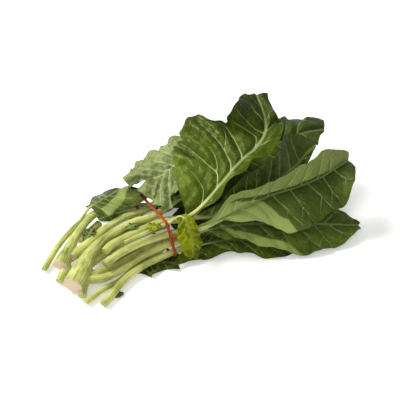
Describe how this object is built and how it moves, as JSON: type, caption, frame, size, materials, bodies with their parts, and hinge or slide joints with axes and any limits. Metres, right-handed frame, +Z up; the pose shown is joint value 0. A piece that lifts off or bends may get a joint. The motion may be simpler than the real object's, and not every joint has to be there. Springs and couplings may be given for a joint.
{
  "type": "bunch of mustard greens",
  "caption": "Bunch of mustard greens with broad wavy leaves, pale stalks and cut stem bases, held by a red twist tie and lying on its side.",
  "frame": {"origin": "on the table, under the rib of the undermost leaf, where that leaf lies pressed flat on the table", "axes": "+X along the bunch from the cut stem ends to the leaf tips, +Y to the far side, +Z up from the table"},
  "size_m": [0.4114, 0.2408, 0.1432],
  "materials": {
    "stalks_and_leaves": "satin fresh leaf and pale green stalk",
    "top_leaf": "satin dark green leaf",
    "near_leaf": "satin green leaf",
    "low_leaves": "satin green leaf",
    "yellow_leaf": "satin yellow-green leaf",
    "tie": "matt red-orange coated wire tie"
  },
  "bodies": {
    "root": {"front_stem": "stalks_and_leaves", "back_stem": "stalks_and_leaves", "top_leaf": "top_leaf", "near_leaf": "near_leaf", "near_low_leaf": "low_leaves", "undermost_leaf": "low_leaves", "far_low_leaf": "low_leaves", "far_leaf": "low_leaves", "small_yellow_leaf": "yellow_leaf", "twist_tie": "tie"}
  },
  "joints": []
}
